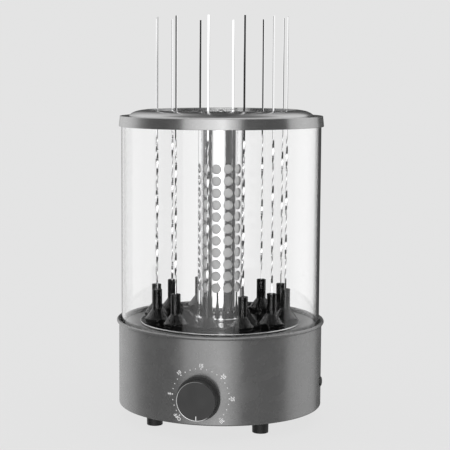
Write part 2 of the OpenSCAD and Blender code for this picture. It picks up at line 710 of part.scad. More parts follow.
module guide_plate() color([0.88, 0.88, 0.89]) difference() {
    translate([0, 0, guide_z0]) cylinder(r = guide_r, h = guide_t);
    translate([0, 0, guide_z0 - 1]) {
        cylinder(r = rod_r + clear_r, h = guide_t + 2);
        for (k = [0:cups - 1]) at_cup(k) cylinder(r = guide_hole_r, h = guide_t + 2);
    }
}

module top_nut() color([0.8, 0.8, 0.81]) difference() {
    union() {
        translate([0, 0, guide_z1]) cylinder(r = rod_r + 4, h = 1);
        translate([0, 0, guide_z1 + 1]) cylinder(r1 = rod_r + 3, r2 = rod_r + 1.6, h = 1.4);
    }
    translate([0, 0, guide_z1 - 1]) cylinder(r = rod_r, h = 2.7);
}

// ---- Glass and lid ----

edge = 0.5; // ground edge of the glass

module glass_cylinder() color([0.8, 0.9, 0.9, 0.3]) rotate_extrude() polygon([
    [glass_r - glass_t + edge, glass_z0], [glass_r - edge, glass_z0],
    [glass_r, glass_z0 + edge], [glass_r, glass_z1 - edge],
    [glass_r - edge, glass_z1], [glass_r - glass_t + edge, glass_z1],
    [glass_r - glass_t, glass_z1 - edge], [glass_r - glass_t, glass_z0 + edge]]);

// The dome's section is a quarter ellipse from the ledge up, then a nearly flat brim to the mouth
brim_fall = 0.8;
dome_steps = 8;
function dome(inset) = [for (i = [0:dome_steps])
    let (a = 90 * i / dome_steps, rx = (lid_dome_r - lid_mouth_r) * 0.64, rz = lid_dome_h - brim_fall)
    [lid_dome_r - rx + (rx - inset) * cos(a), ledge_z1 + rz * sin(a) - inset * sin(a)]];
function reversed(list) = [for (i = [len(list) - 1:-1:0]) list[i]];

module lid_ring() color([0.45, 0.45, 0.46]) rotate_extrude() polygon(concat(
    [[lid_top_r + lid_flare - lid_t, ledge_z1 - lid_band_h],
     [lid_top_r + lid_flare, ledge_z1 - lid_band_h], [lid_top_r, ledge_z1 - 1],
     [lid_top_r - 0.3, ledge_z1 - 0.3], [lid_top_r - 1, ledge_z1]],
    dome(0),
    [[lid_mouth_r + 1, lid_z1], [lid_mouth_r + 0.3, lid_z1 - 0.3], [lid_mouth_r, lid_z1 - 1],
     [lid_mouth_r, lid_z1 - 3.7], [lid_mouth_r + lid_t, lid_z1 - 3.7],
     [lid_mouth_r + lid_t, lid_z1 - 1.1 - lid_t]],
    reversed(dome(lid_t)),
    [[lid_dome_r - lid_t, ledge_z0], [lid_top_r - lid_t, ledge_z0]]));

module lid_gasket() color([0.85, 0.85, 0.84])
    tube(glass_r, glass_r - glass_t, glass_z1 + rest_gap, ledge_z0);

// ---- Cord inlet, terminals and wires ----

function gland_neck_r() = gland_bore_r + 1.5;
gland_proud = 2.2;

module cord_gland() color([0.05, 0.05, 0.05]) at_gland() difference() {
    union() {
        cylinder(r = gland_r, h = gland_proud * 0.4);
        translate([0, 0, gland_proud * 0.4])
            cylinder(r1 = gland_r, r2 = gland_r - 0.9, h = gland_proud * 0.35);
        translate([0, 0, gland_proud * 0.75])
            cylinder(r1 = gland_r - 0.9, r2 = gland_r - 2.4, h = gland_proud * 0.25);
        translate([0, 0, -wall_depth(gland_r) - 0.05]) cylinder(r = gland_neck_r(), h = 2);
        translate([0, 0, -wall_depth(gland_r) - 2.1]) cylinder(r = gland_r, h = 2.1);
    }
    translate([0, 0, -5]) cylinder(r = gland_bore_r, h = 10);
}

block = [24, 28, 16];
block_at = [drum_r - 52.5, -36];

module terminal_block() color([0.9, 0.89, 0.85]) translate([block_at[0], block_at[1], plate_z1])
    difference() {
        translate([-block[0] / 2, -block[1] / 2, 0]) cube(block);
        for (s = [-1, 0, 1]) translate([6, s * 8, block[2] - 4]) cylinder(r = 2, h = 5);
        translate([block[0] / 2 - 6, -block[1] / 2 + 4, block[2] - 1.5])
            cube([7, block[1] - 8, 2]);
    }

// A wire swept along its points, each bend eased over a few millimetres
lead_bend = 4;
lead_sides = 8;
function unit(v) = v / norm(v);
function eased(p) = concat([p[0]],
    [for (i = [1:len(p) - 2], s = [0:2])
        let (back = unit(p[i - 1] - p[i]), on = unit(p[i + 1] - p[i]))
        p[i] + lead_bend * (s == 0 ? back : s == 1 ? (back + on) / 4 : on)],
    [p[len(p) - 1]]);
function headings(p) = [for (i = [0:len(p) - 1])
    unit((i > 0 ? unit(p[i] - p[i - 1]) : [0, 0, 0])
         + (i < len(p) - 1 ? unit(p[i + 1] - p[i]) : [0, 0, 0]))];
function carried(t, u, i = 0) = i == len(t) ? [] :
    let (v = unit(u - (u * t[i]) * t[i])) concat([v], carried(t, v, i + 1));

module lead(points, r) {
    p = eased(points);
    t = headings(p);
    u = carried(t, [0.3, 0.8, 0.5]);
    polyhedron(
        [for (i = [0:len(p) - 1], j = [0:lead_sides - 1]) let (b = 360 * j / lead_sides)
            p[i] + r * (u[i] * cos(b) + cross(t[i], u[i]) * sin(b))],
        [for (f = tube_faces(len(p), lead_sides)) [f[0], f[1], f[2]]]);
}

block_z1 = plate_z1 + block[2];
block_tab_x = block_at[0] - 8;
block_pitch = 8;
timer_back_y = -drum_r + timer_front + timer_depth;
timer_tab_x = timer_w * 0.24;
timer_tab_z = knob_z + timer_w * 0.14;
lead_rise = 9; // how far each wire runs straight out of what it is clamped in
lead_x = lead_ring_r * sin(45);
lead_hole_x = 2;
// From a tab of the terminal block straight up, from one of the timer straight back, and from
// outside the pillar through its hole and up to the coil
function from_block(k) = [for (up = [0, lead_rise])
    [block_tab_x, block_at[1] + k * block_pitch, block_z1 + up]];
function to_timer(s) = [for (out = [lead_rise, 0])
    [s * timer_tab_x, timer_back_y + out, timer_tab_z]];
function to_coil(s, z) = [
    [s * lead_hole_x, -pillar_r - 8, wire_hole_z], [s * lead_hole_x, -pillar_in_r * 0.65, wire_hole_z],
    [s * lead_x, -lead_x, wire_hole_z + 12], [s * lead_x, -lead_x, z]];

module internal_leads() color([0.75, 0.2, 0.15]) {
    lead(concat(from_block(-1), [[drum_r * 0.25, -drum_r * 0.57, timer_tab_z - 2]], to_timer(1)),
         lead_r);
    lead(concat(reversed(to_timer(-1)), [[-drum_r * 0.065, -drum_r * 0.41, wire_hole_z + 6]],
                to_coil(-1, coil_z0)), lead_r);
    lead(concat(from_block(0), [[drum_r * 0.25, -drum_r * 0.34, wire_hole_z + 6]],
                to_coil(1, coil_z1)), lead_r);
    lead(concat(from_block(1), [[drum_r * 0.26, drum_r * 0.15, block_z1 + 20],
                                [lead_rise, drive_r, motor_z0 - lead_rise],
                                [lead_rise, drive_r, motor_z0]]), lead_r);
}

// ---- What is drawn ----

base_housing();
bottom_plate();
rubber_feet();
foot_screws();
case_screws();
deck_plate();
glass_seal();
drip_tray();
spindle_pins();
centre_pillar();
thrust_washer();
centre_gear();
hub_gear();
drive_pinion();
motor_shaft();
drive_motor();
motor_bracket();
small_screws();
timer_body();
timer_shaft();
timer_knob();
column_flange();
heater_tube();
quartz_sleeve();
heater_core();
heating_coil();
tie_rod();
column_cap();
guide_plate();
top_nut();
glass_cylinder();
lid_ring();
lid_gasket();
cord_gland();
terminal_block();
internal_leads();
for (k = [0:cups - 1]) {
    skewer_cup(k);
    skewer(k);
}
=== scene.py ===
import bmesh
import bpy
import math
from mathutils import Matrix, Vector


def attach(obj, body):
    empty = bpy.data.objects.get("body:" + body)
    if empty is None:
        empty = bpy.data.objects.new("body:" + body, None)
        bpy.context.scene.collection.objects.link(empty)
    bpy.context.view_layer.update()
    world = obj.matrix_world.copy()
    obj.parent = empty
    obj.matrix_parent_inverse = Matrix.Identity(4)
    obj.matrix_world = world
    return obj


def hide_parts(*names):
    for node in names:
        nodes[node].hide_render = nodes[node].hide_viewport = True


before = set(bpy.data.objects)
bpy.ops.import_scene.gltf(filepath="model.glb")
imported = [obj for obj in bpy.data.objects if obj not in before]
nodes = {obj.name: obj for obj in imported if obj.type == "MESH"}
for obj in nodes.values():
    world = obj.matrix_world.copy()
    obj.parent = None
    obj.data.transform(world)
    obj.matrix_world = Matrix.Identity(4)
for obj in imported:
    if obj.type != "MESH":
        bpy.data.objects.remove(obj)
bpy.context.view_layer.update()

scene = bpy.context.scene
mm = 0.001

# ---- Camera: a long lens a little above the grill and to its right ----

cameraSettings = dict(place=(0.3026, -1.6078, 0.4181), tilt=83.583, turn=13.64, lens=108.97, shift=0.1667)


def makeCamera(s):
    data = bpy.data.cameras.new("camera")
    data.sensor_width = 36
    data.lens = s["lens"]
    data.shift_x = s["shift"]
    data.clip_start = 0.05
    obj = bpy.data.objects.new("camera", data)
    scene.collection.objects.link(obj)
    obj.location = s["place"]
    obj.rotation_euler = (math.radians(s["tilt"]), 0, math.radians(s["turn"]))
    scene.camera = obj


makeCamera(cameraSettings)
print("camera made")

# ---- Node helpers ----


def feed(tree, socket, value):
    if isinstance(value, bpy.types.NodeSocket):
        tree.links.new(value, socket)
    else:
        socket.default_value = value


def add(tree, kind, choices=None, **inputs):
    # An input is given by its name, or by i and its number
    node = tree.nodes.new(kind)
    for key, value in (choices or {}).items():
        setattr(node, key, value)
    for key, value in inputs.items():
        numbered = key[0] == "i" and key[1:].isdigit()
        feed(tree, node.inputs[int(key[1:]) if numbered else key.replace("_", " ")], value)
    return node


def maths(tree, operation, *values):
    node = tree.nodes.new("ShaderNodeMath")
    node.operation = operation
    for socket, value in zip(node.inputs, values):
        feed(tree, socket, value)
    return node.outputs[0]


def mix(tree, part, first, last):
    return add(tree, "ShaderNodeMix", {"data_type": "FLOAT"}, i0=part, i2=first, i3=last).outputs[0]


def fade(tree, value, low, high, first=0.0, last=1.0):
    return add(tree, "ShaderNodeMapRange", {"interpolation_type": "SMOOTHSTEP"}, Value=value, From_Min=low,
               From_Max=high, To_Min=first, To_Max=last).outputs[0]


def bounced(tree, kind):
    depth = add(tree, "ShaderNodeLightPath").outputs[kind + " Depth"]
    return maths(tree, "GREATER_THAN", depth, 0.5)


def grey(v):
    return (v, v, v, 1) if isinstance(v, (int, float)) else (*v, 1)


# ---- Light: softboxes round the grill, drawn in the world ----
# Each stop is (degrees round from the camera's side, brightness). The studio is dark between the boxes.

studio = dict(
    left=[(0, 1.06), (5, 0.88), (10, 0.84), (15, 0.81), (21, 0.7), (27, 0.68), (33, 0.57), (39, 0.49),
          (42.5, 0.46), (44.5, 0.05), (55, 0.02), (75, 0.015), (84, 0.03), (92, 0.07), (100, 0.15),
          (110, 0.36), (120, 0.48), (133, 0.52), (142, 0.48), (151, 0.42), (162, 0.34), (169, 0.2),
          (174, 0.04), (180, 0.02)],
    right=[(0, 1.06), (3, 1.03), (7, 0.82), (13, 0.61), (18, 0.46), (21, 0.42), (22.5, 0.05), (30, 0.02),
           (66, 0.015), (76, 0.03), (79, 0.05), (80.5, 0.36), (87, 0.43), (95, 0.5), (105, 0.53), (115, 0.5),
           (125, 0.43), (136, 0.32), (140, 0.05), (180, 0.02)],
    above=[(0, 0.9), (40, 0.6), (90, 0.55), (115, 0.63), (140, 0.62), (156, 0.5), (167, 0.26), (174, 0.05),
           (180, 0.02)],
    # The backdrop level seen through the glass is raised above the plain backdrop: a painted sheen of the
    # glass
    gain=2.0, background=0.775, sheenThroughGlass=0.92, fill=1.0, facing=10.66, lift=(0.26, 0.44),
    roof=(0.7, 0.92, 1.0, 0.2), under=(-0.6, -0.35, 0.3, 1.0), shadow=0.06, floorEdge=9)


def sideRamp(tree, angle, stops):
    ramp = tree.nodes.new("ShaderNodeValToRGB")
    elements = ramp.color_ramp.elements
    while len(elements) > 1:
        elements.remove(elements[-1])
    elements[0].position = stops[0][0] / 180
    elements[0].color = grey(stops[0][1])
    for degrees, level in stops[1:]:
        elements.new(degrees / 180).color = grey(level)
    tree.links.new(angle, ramp.inputs[0])
    return ramp.outputs[0]


def makeWorld(s):
    world = bpy.data.worlds.new("studio")
    world.use_nodes = True
    scene.world = world
    world.cycles.sampling_method = "NONE"
    tree = world.node_tree
    tree.nodes.clear()
    way = add(tree, "ShaderNodeTexCoord").outputs["Generated"]
    up = add(tree, "ShaderNodeSeparateXYZ", Vector=way).outputs["Z"]
    turned = add(tree, "ShaderNodeVectorRotate", {"rotation_type": "Z_AXIS"}, Vector=way,
                 Angle=-math.radians(s["facing"]))
    flat = add(tree, "ShaderNodeSeparateXYZ", Vector=turned.outputs[0])
    angle = maths(tree, "ARCTAN2", flat.outputs["X"], maths(tree, "MULTIPLY", flat.outputs["Y"], -1))
    part = maths(tree, "DIVIDE", maths(tree, "ABSOLUTE", angle), math.pi)
    onRight = maths(tree, "GREATER_THAN", angle, 0)
    boxes = mix(tree, onRight, sideRamp(tree, part, s["left"]), sideRamp(tree, part, s["right"]))
    # A wide box hangs above the others; all fade out overhead and towards the floor
    boxes = mix(tree, fade(tree, up, *s["lift"]), boxes, sideRamp(tree, part, s["above"]))
    boxes = maths(tree, "MULTIPLY", boxes, s["gain"])
    ends = maths(tree, "MULTIPLY", fade(tree, up, *s["roof"]), fade(tree, up, *s["under"]))
    # Seen through the glass, the backdrop is painted brighter, as a painted sheen of the glass
    seen = mix(tree, bounced(tree, "Transmission"), s["background"], s["sheenThroughGlass"])
    seen = mix(tree, bounced(tree, "Diffuse"), seen, s["fill"])
    seen = mix(tree, bounced(tree, "Glossy"), seen, maths(tree, "MULTIPLY", boxes, ends))
    shade = add(tree, "ShaderNodeBackground", Color=seen)
    out = add(tree, "ShaderNodeOutputWorld")
    tree.links.new(shade.outputs[0], out.inputs["Surface"])


def mixShaders(tree, part, first, last):
    both = add(tree, "ShaderNodeMixShader", i0=part)
    tree.links.new(first.outputs[0], both.inputs[1])
    tree.links.new(last.outputs[0], both.inputs[2])
    return both


def makeFloor(s):
    corners = [(-1, -1), (1, -1), (1, 1), (-1, 1)]
    mesh = bpy.data.meshes.new("floor")
    mesh.from_pydata([(x * s["floorEdge"], y * s["floorEdge"], 0) for x, y in corners], [], [(0, 1, 2, 3)])
    floor = bpy.data.objects.new("floor", mesh)
    scene.collection.objects.link(floor)
    mat = bpy.data.materials.new("floorPaper")
    mat.use_nodes = True
    tree = mat.node_tree
    tree.nodes.clear()
    # Seen through the glass, the floor is painted brighter too, as a painted sheen of the glass
    level = mix(tree, bounced(tree, "Transmission"), s["background"], s["sheenThroughGlass"])
    plain = add(tree, "ShaderNodeEmission", Color=level)
    lit = add(tree, "ShaderNodeBsdfDiffuse", Color=grey(s["background"]))
    own = mixShaders(tree, s["shadow"], plain, lit)
    # Bright metal mirrors the studio, not the floor
    both = mixShaders(tree, bounced(tree, "Glossy"), own, add(tree, "ShaderNodeBsdfTransparent"))
    out = add(tree, "ShaderNodeOutputMaterial")
    tree.links.new(both.outputs[0], out.inputs["Surface"])
    mesh.materials.append(mat)


makeWorld(studio)
makeFloor(studio)
scene.view_settings.view_transform = "Standard"
print("studio made")

# ---- Materials ----


def material(name, color, rough, metallic=0.0, ior=1.5, spread=0.06, grain=400, bump=0.1, depth=0.02,
             roughSpread=0.15, specks=0.0):
    mat = bpy.data.materials.new(name)
    mat.use_nodes = True
    tree = mat.node_tree
    shader = tree.nodes["Principled BSDF"]
    shader.inputs["Metallic"].default_value = metallic
    shader.inputs["IOR"].default_value = ior
    place = add(tree, "ShaderNodeTexCoord").outputs["Object"]
    fine = add(tree, "ShaderNodeTexNoise", Vector=place, Scale=grain, Detail=3.0).outputs[0]
    broad = add(tree, "ShaderNodeTexNoise", Vector=place, Scale=grain * 0.04, Detail=2.0).outputs[0]
    base = grey(color)
    low = tuple(c * (1 - spread) for c in base[:3]) + (1,)
    high = tuple(min(1, c * (1 + spread)) for c in base[:3]) + (1,)
    tone = add(tree, "ShaderNodeMix", {"data_type": "RGBA"}, i0=fine, i6=low, i7=high).outputs[2]
    if specks:
        flakes = add(tree, "ShaderNodeTexVoronoi", Vector=place, Scale=grain * 2.2).outputs["Color"]
        value = add(tree, "ShaderNodeSeparateColor", Color=flakes).outputs[0]
        chosen = add(tree, "ShaderNodeMapRange", Value=value, From_Min=0.8, From_Max=1.0).outputs[0]
        bright = tuple(min(1, c * (1 + specks)) for c in base[:3]) + (1,)
        tone = add(tree, "ShaderNodeMix", {"data_type": "RGBA"}, i0=chosen, i6=tone, i7=bright).outputs[2]
    tree.links.new(tone, shader.inputs["Base Color"])
    roughness = add(tree, "ShaderNodeMapRange", Value=broad, From_Min=0.3, From_Max=0.7,
                    To_Min=rough * (1 - roughSpread), To_Max=min(1, rough * (1 + roughSpread)))
    tree.links.new(roughness.outputs[0], shader.inputs["Roughness"])
    if bump:
        relief = add(tree, "ShaderNodeBump", Height=fine, Strength=bump, Distance=depth * mm)
        tree.links.new(relief.outputs[0], shader.inputs["Normal"])
    return mat


def brushedRound(mat, strength, depth, lines, along=12):
    tree = mat.node_tree
    shader = tree.nodes["Principled BSDF"]
    place = add(tree, "ShaderNodeSeparateXYZ", Vector=add(tree, "ShaderNodeTexCoord").outputs["Object"])
    x, y = place.outputs["X"], place.outputs["Y"]
    r = maths(tree, "SQRT", maths(tree, "ADD", maths(tree, "MULTIPLY", x, x), maths(tree, "MULTIPLY", y, y)))
    around = add(tree, "ShaderNodeCombineXYZ", X=maths(tree, "MULTIPLY", r, lines),
                 Y=maths(tree, "MULTIPLY", x, along), Z=maths(tree, "MULTIPLY", y, along))
    rings = add(tree, "ShaderNodeTexNoise", Vector=around.outputs[0], Scale=1.0, Detail=2.0)
    relief = add(tree, "ShaderNodeBump", Height=rings.outputs[0], Strength=strength, Distance=depth * mm)
    tree.links.new(relief.outputs[0], shader.inputs["Normal"])
    return mat


def glassMaterial(name, tint, ior):
    mat = material(name, tint, 0.0, ior=ior, spread=0.0, bump=0, roughSpread=0)
    tree = mat.node_tree
    shader = tree.nodes["Principled BSDF"]
    shader.inputs["Transmission Weight"].default_value = 1.0
    shadowRay = add(tree, "ShaderNodeLightPath").outputs["Is Shadow Ray"]
    both = mixShaders(tree, shadowRay, shader, add(tree, "ShaderNodeBsdfTransparent"))
    tree.links.new(both.outputs[0], tree.nodes["Material Output"].inputs["Surface"])
    return mat


paint = material("housingPaint", 0.214, 0.27, metallic=0.6, grain=1500, spread=0.12, bump=0.12, depth=0.01,
                 specks=0.5)
lidPaint = material("lidPaint", 0.42, 0.18, metallic=0.86, grain=1500, spread=0.08, bump=0.1, depth=0.01,
                    specks=0.3)
deckMetal = brushedRound(material("deckMetal", 0.4, 0.4, metallic=0.5, grain=900, spread=0.05, bump=0),
                         0.25, 0.01, 3000)
trayGloss = material("trayGloss", 0.004, 0.12, grain=600, spread=0.2, bump=0)
trayBright = material("trayBright", 0.62, 0.2, metallic=1.0, grain=900, spread=0.04, bump=0.03, depth=0.005)
blackGloss = material("blackGloss", 0.002, 0.08, grain=500, spread=0.2, bump=0)
chrome = material("chrome", (0.9, 0.9, 0.905), 0.05, metallic=1.0, grain=300, spread=0.01, bump=0.01,
                  depth=0.01)
skewerSteel = material("skewerSteel", (0.88, 0.88, 0.885), 0.06, metallic=1.0, grain=700, spread=0.03,
                       bump=0.02, depth=0.01)
frosted = material("frostedQuartz", 0.56, 0.45, grain=900, spread=0.05, bump=0.15, depth=0.02)
rubber = material("rubber", 0.009, 0.6, grain=1200, spread=0.25, bump=0.4, depth=0.03)
knobPlastic = material("knobPlastic", 0.019, 0.42, grain=1400, spread=0.15, bump=0.2, depth=0.01)
cutEdge = material("cutEdge", 0.6, 0.15, metallic=1.0, grain=900, spread=0.03, bump=0.02, depth=0.005)
glandPlastic = material("glandPlastic", 0.012, 0.4, grain=1200, spread=0.2, bump=0.2, depth=0.01)
sealBlack = material("sealBlack", 0.012, 0.5, grain=1100, spread=0.2, bump=0.3, depth=0.02)
dialWhite = material("dialWhite", 0.9, 0.45, grain=1500, spread=0.04, bump=0.1, depth=0.005)
zinc = material("zincSteel", (0.55, 0.56, 0.58), 0.33, metallic=0.9, grain=260, spread=0.1, bump=0.08,
                depth=0.02, roughSpread=0.3)
screwSteel = material("screwSteel", 0.6, 0.28, metallic=0.95, grain=900, spread=0.06, bump=0.1, depth=0.01)
nylon = material("nylon", (0.75, 0.72, 0.62), 0.5, grain=700, spread=0.04, bump=0.1, depth=0.01)
motorSteel = material("motorCase", 0.5, 0.35, metallic=0.8, grain=300, spread=0.08, bump=0.1, depth=0.02)
timerCase = material("timerCase", (0.52, 0.5, 0.44), 0.4, metallic=0.5, grain=300, spread=0.06, bump=0.1)
ceramic = material("ceramic", (0.82, 0.8, 0.74), 0.7, grain=600, spread=0.05, bump=0.3, depth=0.03)
wire = material("heatingWire", (0.28, 0.22, 0.18), 0.45, metallic=0.8, grain=900, spread=0.15, bump=0.1)
silicone = material("whiteSilicone", 0.78, 0.55, grain=900, spread=0.03, bump=0.15, depth=0.01)
ivory = material("ivoryPlastic", (0.78, 0.74, 0.64), 0.4, grain=800, spread=0.03, bump=0.1, depth=0.01)
leadRed = material("leadSilicone", (0.45, 0.05, 0.03), 0.45, grain=700, spread=0.08, bump=0.1)
clearGlass = glassMaterial("clearGlass", 1.0, 1.4)
print("materials made")

# ---- Mesh helpers ----


def finish(name, bm, mat, body, slot, replaced=(), angle=35, matrix=None):
    bmesh.ops.remove_doubles(bm, verts=bm.verts, dist=1e-4)
    if bm.calc_volume(signed=True) < 0:
        bmesh.ops.reverse_faces(bm, faces=bm.faces)
    if matrix is not None:
        bm.transform(matrix)
    bm.transform(Matrix.Scale(mm, 4))
    mesh = bpy.data.meshes.new(name)
    bm.to_mesh(mesh)
    bm.free()
    return piece(name, mesh, mat, body, replaced, angle)


def piece(name, mesh, mat, body, replaced=(), angle=35):
    mesh.polygons.foreach_set("use_smooth", [True] * len(mesh.polygons))
    mesh.set_sharp_from_angle(angle=math.radians(angle))
    if mat is not None:
        mesh.materials.clear()
        mesh.materials.append(mat)
    obj = bpy.data.objects.new(name, mesh)
    scene.collection.objects.link(obj)
    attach(obj, body)
    if replaced:
        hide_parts(*replaced)
    return obj


def rounded(corners, steps=4):
    # Each corner is (radius, height) or (radius, height, fillet)
    points = []
    count = len(corners)
    for i, corner in enumerate(corners):
        here = Vector(corner[:2])
        fillet = corner[2] if len(corner) > 2 else 0
        if fillet <= 0:
            points.append(tuple(here))
            continue
        back = Vector(corners[i - 1][:2]) - here
        on = Vector(corners[(i + 1) % count][:2]) - here
        turn = back.angle(on)
        cut = min(fillet / math.tan(turn / 2), back.length * 0.48, on.length * 0.48)
        radius = cut * math.tan(turn / 2)
        a, b = here + back.normalized() * cut, here + on.normalized() * cut
        centre = here + (back.normalized() + on.normalized()).normalized() * (radius / math.sin(turn / 2))
        spare = min(0.25, radius)
        points.append(tuple(a + back.normalized() * min(spare, (back.length - cut) * 0.4)))
        first, last = a - centre, b - centre
        sweep = first.angle_signed(last)
        for s in range(steps + 1):
            points.append(tuple(centre + Matrix.Rotation(-sweep * s / steps, 2) @ first))
        points.append(tuple(b + on.normalized() * min(spare, (on.length - cut) * 0.4)))
    return points


def arc(r, z, radius, start, end, steps):
    angles = [math.radians(start + (end - start) * i / steps) for i in range(steps + 1)]
    return [(r + radius * math.cos(a), z + radius * math.sin(a)) for a in angles]


def skin(rings, closed=True, caps=(False, False)):
    bm = bmesh.new()
    rows = [[bm.verts.new(p) for p in ring] for ring in rings]
    pairs = list(zip(rows, rows[1:])) + ([(rows[-1], rows[0])] if closed else [])
    for low, high in pairs:
        for j in range(len(low)):
            k = (j + 1) % len(low)
            bm.faces.new((low[j], low[k], high[k], high[j]))
    if caps[0]:
        bm.faces.new(list(reversed(rows[0])))
    if caps[1]:
        bm.faces.new(rows[-1])
    return bm


def circle(r, z, count, start=0.0):
    return [(r * math.cos(start + math.tau * j / count), r * math.sin(start + math.tau * j / count), z)
            for j in range(count)]


def lathe(profile, count=192, closed=True):
    bm = skin([circle(max(r, 0.0), z, count) for r, z in profile], closed)
    bmesh.ops.remove_doubles(bm, verts=bm.verts, dist=1e-4)
    return bm


# ---- Geometry Nodes: cells set round and up a column ----


def socketId(tree, name):
    return [i for i in tree.interface.items_tree if i.in_out == "INPUT" and i.name == name][0].identifier


def startTree(name, inputs):
    tree = bpy.data.node_groups.new(name, "GeometryNodeTree")
    for label, kind in (("Geometry", "Geometry"), *inputs):
        tree.interface.new_socket(label, in_out="INPUT", socket_type="NodeSocket" + kind)
    tree.interface.new_socket("Geometry", in_out="OUTPUT", socket_type="NodeSocketGeometry")
    return tree, tree.nodes.new("NodeGroupInput").outputs


def endTree(tree, geometry, mat):
    painted = add(tree, "GeometryNodeSetMaterial", Geometry=geometry, Material=mat).outputs[0]
    tree.links.new(painted, tree.nodes.new("NodeGroupOutput").inputs[0])


def arrayTree():
    tree, start = startTree("columnArray", (("Columns", "Int"), ("Rows", "Int"), ("Pitch", "Float"),
                                            ("Turn", "Float"), ("Weld", "Float"), ("Material", "Material")))
    index = add(tree, "GeometryNodeInputIndex").outputs[0]
    total = maths(tree, "MULTIPLY", start["Columns"], start["Rows"])
    row = maths(tree, "FLOOR", maths(tree, "DIVIDE", index, start["Columns"]))
    apart = maths(tree, "DIVIDE", math.tau, start["Columns"])
    turn = maths(tree, "ADD", maths(tree, "MULTIPLY", apart, index), start["Turn"])
    place = add(tree, "ShaderNodeCombineXYZ", Z=maths(tree, "MULTIPLY", row, start["Pitch"])).outputs[0]
    points = add(tree, "GeometryNodePoints", Count=total, Position=place).outputs[0]
    angles = add(tree, "ShaderNodeCombineXYZ", Z=turn).outputs[0]
    copies = add(tree, "GeometryNodeInstanceOnPoints", Points=points, Instance=start["Geometry"],
                 Rotation=angles).outputs[0]
    real = add(tree, "GeometryNodeRealizeInstances", Geometry=copies).outputs[0]
    welded = add(tree, "GeometryNodeMergeByDistance", Geometry=real, Distance=start["Weld"]).outputs[0]
    endTree(tree, welded, start["Material"])
    return tree


def grown(name, bm, tree, settings):
    bm.transform(Matrix.Scale(mm, 4))
    mesh = bpy.data.meshes.new(name + "Cell")
    bm.to_mesh(mesh)
    bm.free()
    source = bpy.data.objects.new(name + "Cell", mesh)
    scene.collection.objects.link(source)
    modifier = source.modifiers.new("array", "NODES")
    modifier.node_group = tree
    for key, value in settings.items():
        modifier[socketId(tree, key)] = value
    graph = bpy.context.evaluated_depsgraph_get()
    made = bpy.data.meshes.new_from_object(source.evaluated_get(graph), depsgraph=graph)
    bpy.data.objects.remove(source)
    made.name = name
    return made


columnArray = arrayTree()

# ---- Base: housing, deck, seal, tray, feet, inlet bush ----

housing = dict(r=122.5, wall=1.2, low=17.8, corner=1.6, flange=103.4, rim=119.2, beadAt=123.1, bead=2.2,
               bend=0.6, outTop=(116.0, 116.7), inTop=117.2)


def makeHousing(s):
    r, t, z = s["r"], s["wall"], s["low"]
    outer = [(s["flange"], z, 0.15), (r - s["corner"], z)]
    outer += arc(r - s["corner"], z + s["corner"], s["corner"], -90, 0, 10)
    # The bead starts where it meets the outside of the wall and ends on the inside
    start = math.degrees(math.acos((r - s["beadAt"]) / s["bead"]))
    end = math.degrees(math.acos((r - t - s["beadAt"]) / s["bead"]))
    bend = z + s["corner"] + s["bend"]
    outer += [(r, bend)] + [(r, top) for top in s["outTop"]]
    outer += arc(s["beadAt"], s["rim"], s["bead"], -start + 2, 360 - end, 28)
    inner = [(r - t, s["inTop"]), (r - t, bend)]
    inner += arc(r - s["corner"], z + s["corner"], s["corner"] - t, 0, -90, 10)
    inner += [(s["flange"], z + t, 0.15)]
    return finish("drumHousing", lathe(rounded(outer + inner), 256), paint, "base", "housing_paint",
                  ["base_housing"])


makeHousing(housing)

deck = dict(hole=28.0, out=121.3, wall=1.2, low=115.6, high=116.8, skirt=107.6)


def makeDeck(s):
    inside = s["out"] - s["wall"]
    profile = [(s["hole"], s["low"], 0.2), (inside, s["low"], 0.4), (inside, s["skirt"], 0.3),
               (s["out"], s["skirt"], 0.3), (s["out"], s["high"], 0.8), (s["hole"], s["high"], 0.3)]
    return finish("deckSheet", lathe(rounded(profile), 256), deckMetal, "base", "deck_paint", ["deck_plate"])


makeDeck(deck)

seal = dict(inside=115.55, outside=120.8, lip=119.75, low=116.8, floor=117.6, high=119.4)


def makeSeal(s):
    profile = [(s["inside"], s["low"], 0.1), (s["outside"], s["low"], 0.1), (s["outside"], s["high"], 0.35),
               (s["lip"], s["high"], 0.35), (s["lip"], s["floor"], 0.1), (s["inside"], s["floor"], 0.3)]
    return finish("glassSeal", lathe(rounded(profile), 256), sealBlack, "base", "black_rubber",
                  ["glass_seal"])


makeSeal(seal)

tray = dict(r=95.975, wall=0.4, low=116.8, floor=117.6, beadAt=118.45, bead=0.95, hole=28.8, lip=119.0,
            collar=0.8)


def makeTray(s):
    r, w = s["r"], s["wall"]
    profile = [(s["hole"], s["low"], 0.1), (r + w, s["low"], 0.3), (r + w, s["beadAt"]), (r - w, s["beadAt"]),
               (r - w, s["floor"], 0.25), (s["hole"] + s["collar"], s["floor"], 0.25),
               (s["hole"] + s["collar"], s["lip"], 0.25), (s["hole"], s["lip"], 0.25)]
    finish("dripTray", lathe(rounded(profile), 256), trayGloss, "base", "tray_paint", ["drip_tray"])
    # The rolled edge is left bright
    ring = arc(r, s["beadAt"], s["bead"], 0, 345, 23)
    finish("trayBead", lathe(ring, 256), trayBright, "base", "tray_paint")


makeTray(tray)

foot = dict(ring=90.5, turn=42.5, top=19.0, tip=9.4, wide=9.8, edge=0.6, recess=6.0, recessR=4.5, screw=2.1)


def makeFeet(s):
    profile = [(s["screw"], s["recess"], 0), (s["recessR"], s["recess"], 0.3), (s["recessR"], 0, 0.4),
               (s["tip"], 0, s["edge"]), (s["wide"], s["top"], 0.2), (s["screw"], s["top"], 0)]
    bm = lathe(rounded(profile), 48)
    bm.transform(Matrix.Translation((s["ring"], 0, 0)))
    bmesh.ops.recalc_face_normals(bm, faces=bm.faces)
    mesh = grown("rubberFeet", bm, columnArray, {"Columns": 4, "Rows": 1, "Turn": math.radians(s["turn"]),
                                                 "Weld": 1e-7, "Material": rubber})
    return piece("rubberFeet", mesh, None, "base", ["rubber_feet"])


makeFeet(foot)

